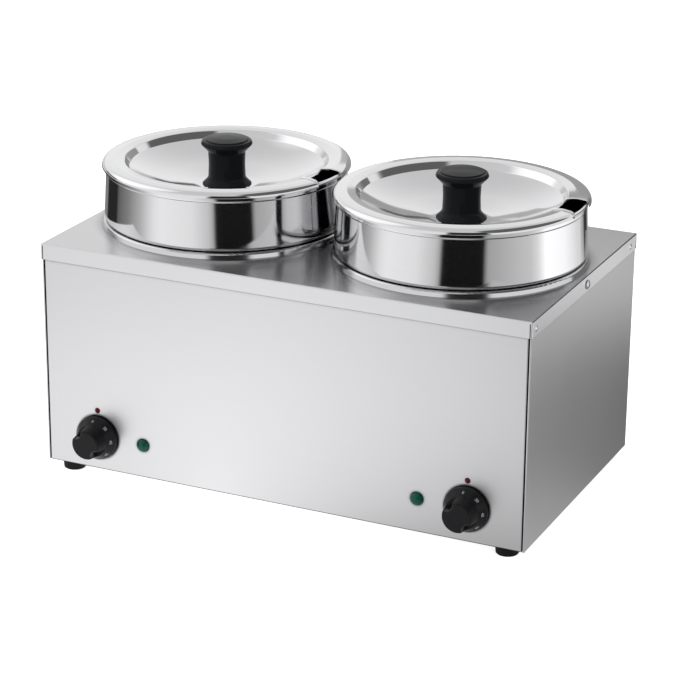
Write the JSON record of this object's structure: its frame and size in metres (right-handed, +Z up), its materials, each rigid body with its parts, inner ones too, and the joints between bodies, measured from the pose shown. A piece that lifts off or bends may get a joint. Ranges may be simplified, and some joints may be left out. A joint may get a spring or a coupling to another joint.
{
  "type": "electric food warmer with lift-out pots",
  "caption": "Countertop electric food warmer: folded steel housing with round lift-out pots under notched lids, each with a turning temperature control and a pilot lamp.",
  "frame": {"origin": "on the floor plane under the feet, at the middle of the object's overall length and depth", "axes": "+Z up, -Y the front with the controls, +X to the right seen from the front, along the housing"},
  "size_m": [0.5448, 0.356, 0.3415],
  "materials": {
    "housing_steel": "brushed stainless sheet",
    "polished_steel": "mirror polished stainless sheet",
    "well_steel": "deep drawn stainless, satin",
    "zinc_sheet": "zinc coated sheet",
    "fastener_steel": "bright zinc plated",
    "element_sheath": "heat-darkened steel tube",
    "knob_plastic": "black moulded phenolic, satin",
    "case_plastic": "cream moulded case",
    "lamp_plastic": "black moulded",
    "lens_plastic": "translucent green",
    "dot_plastic": "dark red",
    "copper": "drawn copper",
    "terminal_plastic": "white moulded",
    "terminal_brass": "nickel-free brass",
    "gland_plastic": "black polyamide",
    "foot_rubber": "black rubber"
  },
  "bodies": {
    "housing": {"base_plate": "zinc_sheet", "base_screws": "fastener_steel", "bulb_clips": "zinc_sheet", "clamp_nuts": "fastener_steel", "clamp_studs": "fastener_steel", "cover_nuts": "fastener_steel", "cover_rivets": "fastener_steel", "cover_screws": "fastener_steel", "earth_nut": "terminal_brass", "earth_stud": "terminal_brass", "element_clamp_left": "zinc_sheet", "element_clamp_right": "zinc_sheet", "foot_front_left": "foot_rubber", "foot_front_right": "foot_rubber", "foot_rear_left": "foot_rubber", "foot_rear_right": "foot_rubber", "foot_screws": "fastener_steel", "front_panel": "housing_steel", "gland_body": "gland_plastic", "gland_dome_nut": "gland_plastic", "gland_lock_nut": "gland_plastic", "heating_element_left": "element_sheath", "heating_element_right": "element_sheath", "index_dots": "dot_plastic", "left_side_panel": "housing_steel", "pilot_lamp_body_left": "lamp_plastic", "pilot_lamp_body_right": "lamp_plastic", "pilot_lamp_lens_left": "lens_plastic", "pilot_lamp_lens_right": "lens_plastic", "rear_panel": "housing_steel", "right_side_panel": "housing_steel", "seam_rivets": "fastener_steel", "sensor_bulb_left": "copper", "sensor_bulb_right": "copper", "terminal_block": "terminal_plastic", "terminal_screws": "terminal_brass", "thermal_cutout_left": "lamp_plastic", "thermal_cutout_right": "lamp_plastic", "thermostat_left": "case_plastic", "thermostat_right": "case_plastic", "thermostat_screws": "fastener_steel", "top_cover": "housing_steel", "well_left": "well_steel", "well_right": "well_steel"},
    "pot_left": {"pot_left": "polished_steel"},
    "lid_left": {"lid_left": "polished_steel", "lid_knob_left": "knob_plastic", "lid_knob_screw_left": "fastener_steel", "lid_knob_washer_left": "fastener_steel"},
    "control_left": {"control_knob_left": "knob_plastic", "thermostat_shaft_left": "fastener_steel"},
    "pot_right": {"pot_right": "polished_steel"},
    "lid_right": {"lid_right": "polished_steel", "lid_knob_right": "knob_plastic", "lid_knob_screw_right": "fastener_steel", "lid_knob_washer_right": "fastener_steel"},
    "control_right": {"control_knob_right": "knob_plastic", "thermostat_shaft_right": "fastener_steel"}
  },
  "joints": [
    {"name": "pot_lift_left", "type": "slide", "parent": "housing", "child": "pot_left", "axis": [0, 0, 1], "range_m": [0, 0.24]},
    {"name": "lid_lift_left", "type": "slide", "parent": "pot_left", "child": "lid_left", "axis": [0, 0, 1], "range_m": [0, 0.08]},
    {"name": "control_turn_left", "type": "hinge", "parent": "housing", "child": "control_left", "pos_m": [-0.208, -0.15005, 0.046], "axis": [0, 1, 0], "range_deg": [0, 315]},
    {"name": "pot_lift_right", "type": "slide", "parent": "housing", "child": "pot_right", "axis": [0, 0, 1], "range_m": [0, 0.24]},
    {"name": "lid_lift_right", "type": "slide", "parent": "pot_right", "child": "lid_right", "axis": [0, 0, 1], "range_m": [0, 0.08]},
    {"name": "control_turn_right", "type": "hinge", "parent": "housing", "child": "control_right", "pos_m": [0.208, -0.15005, 0.046], "axis": [0, 1, 0], "range_deg": [0, 315]}
  ]
}
